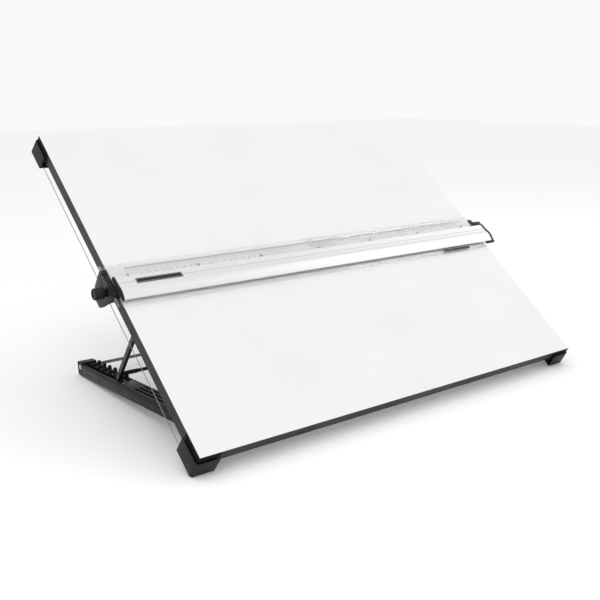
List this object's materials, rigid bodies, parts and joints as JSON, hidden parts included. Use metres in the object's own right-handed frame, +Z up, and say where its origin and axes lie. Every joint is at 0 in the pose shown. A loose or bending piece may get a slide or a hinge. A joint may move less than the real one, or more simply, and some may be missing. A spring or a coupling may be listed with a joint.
{
  "type": "portable drawing board",
  "caption": "Portable drawing board on a folding notched stand, with a wire-guided parallel straightedge and clear graduated scale.",
  "frame": {"origin": "on the table, under the middle of the whole standing board", "axes": "+X to the user's right, +Y away from the user, +Z up"},
  "size_m": [0.6962, 0.4432, 0.3513],
  "materials": {
    "white_laminate": "fine satin melamine",
    "grey_backing": "matt balancing laminate",
    "particle_board": "bare pressed particle board",
    "edge_plastic": "satin edge band",
    "black_plastic": "fine moulded grain",
    "leg_plastic": "fine moulded grain",
    "black_steel": "satin black coating",
    "pulley_plastic": "natural nylon",
    "zinc_steel": "bright zinc plate",
    "wire_steel": "fine stranded steel",
    "black_rubber": "matt rubber",
    "yellow_zinc": "yellow passivated zinc plate",
    "anodised_aluminium": "satin anodised",
    "clear_acrylic": "clear polished acrylic",
    "label_black": "gloss black plate",
    "glide_felt": "pressed felt",
    "clamp_brass": "machined"
  },
  "bodies": {
    "board": {"top_laminate": "white_laminate", "board_core": "particle_board", "back_laminate": "grey_backing", "edge_band_left": "edge_plastic", "edge_band_right": "edge_plastic", "edge_band_front": "edge_plastic", "edge_band_rear": "edge_plastic", "corner_housing_front_left": "black_plastic", "corner_housing_front_right": "black_plastic", "corner_housing_rear_left": "black_plastic", "corner_housing_rear_right": "black_plastic", "corner_lining_front_left": "black_rubber", "corner_lining_front_right": "black_rubber", "corner_lining_rear_left": "black_rubber", "corner_lining_rear_right": "black_rubber", "pulley_pins": "zinc_steel", "motion_wire": "wire_steel", "wire_ferrule": "wire_steel", "foot_pads": "black_rubber", "corner_screws": "zinc_steel", "leg_bracket_left": "black_plastic", "leg_bracket_right": "black_plastic", "prop_clip_left": "black_plastic", "prop_clip_right": "black_plastic", "leg_hinge_pins": "zinc_steel", "prop_hinge_pins": "zinc_steel", "bracket_screws": "zinc_steel"},
    "stand": {"stand_leg_left": "leg_plastic", "stand_leg_right": "leg_plastic", "leg_sole_left": "black_rubber", "leg_sole_right": "black_rubber", "cross_rod": "yellow_zinc", "rod_rings": "zinc_steel"},
    "prop": {"prop_arm_left": "black_steel", "prop_arm_right": "black_steel", "prop_bar": "black_steel", "prop_bar_shoes": "black_steel"},
    "rule": {"rule_extrusion": "anodised_aluminium", "label_plate": "label_black", "clear_scale_plate": "clear_acrylic", "lower_strip": "label_black", "rule_end_cap_left": "black_plastic", "rule_end_cap_right": "black_plastic", "guide_left": "black_plastic", "guide_right": "black_plastic", "plate_screws": "black_steel", "glide_pads": "glide_felt", "wire_clamps": "clamp_brass", "brake_pad": "black_rubber"},
    "knob": {"brake_knob": "black_plastic", "brake_screw": "zinc_steel"},
    "wheel_front_left": {"pulley_front_left": "pulley_plastic"},
    "wheel_front_right": {"pulley_front_right": "pulley_plastic"},
    "wheel_rear_left": {"pulley_rear_left": "pulley_plastic"},
    "wheel_rear_right": {"pulley_rear_right": "pulley_plastic"}
  },
  "joints": [
    {"name": "stand_fold", "type": "hinge", "parent": "board", "child": "stand", "pos_m": [0.0028, -0.14657, 0.03884], "axis": [1, 0, 0], "range_deg": [0, 40.22]},
    {"name": "prop_swing", "type": "hinge", "parent": "board", "child": "prop", "pos_m": [0.0028, -0.02809, 0.14395], "axis": [1, 0, 0], "range_deg": [0, 88.38]},
    {"name": "rule_slide", "type": "slide", "parent": "board", "child": "rule", "axis": [0, 0.7923, 0.6101], "range_m": [-0.179, 0.21]},
    {"name": "brake_turn", "type": "hinge", "parent": "rule", "child": "knob", "pos_m": [-0.3322, -0.01811, 0.17361], "axis": [-1, 0, 0], "range_deg": [-180, 0]},
    {"name": "wheel_turn_front_left", "type": "hinge", "parent": "board", "child": "wheel_front_left", "pos_m": [-0.3162, -0.19582, 0.01429], "axis": [0, -0.6101, 0.7923], "range_deg": [-1482, 1263.23]},
    {"name": "wheel_turn_rear_left", "type": "hinge", "parent": "board", "child": "wheel_rear_left", "pos_m": [-0.3162, 0.20429, 0.32405], "axis": [0, -0.6101, 0.7923], "range_deg": [-1482, 1263.23]},
    {"name": "wheel_turn_front_right", "type": "hinge", "parent": "board", "child": "wheel_front_right", "pos_m": [0.3218, -0.19661, 0.01532], "axis": [0, -0.6101, 0.7923], "range_deg": [-1263.23, 1482]},
    {"name": "wheel_turn_rear_right", "type": "hinge", "parent": "board", "child": "wheel_rear_right", "pos_m": [0.3218, 0.20508, 0.32302], "axis": [0, -0.6101, 0.7923], "range_deg": [-1263.23, 1482]}
  ],
  "couplings": [
    {"joint": "prop_swing", "follows": "stand_fold", "ratio": 2.1848},
    {"joint": "wheel_turn_front_left", "follows": "rule_slide", "rad_per_m": -121.95},
    {"joint": "wheel_turn_rear_left", "follows": "rule_slide", "rad_per_m": -121.95},
    {"joint": "wheel_turn_front_right", "follows": "rule_slide", "rad_per_m": 121.95},
    {"joint": "wheel_turn_rear_right", "follows": "rule_slide", "rad_per_m": 121.95}
  ]
}
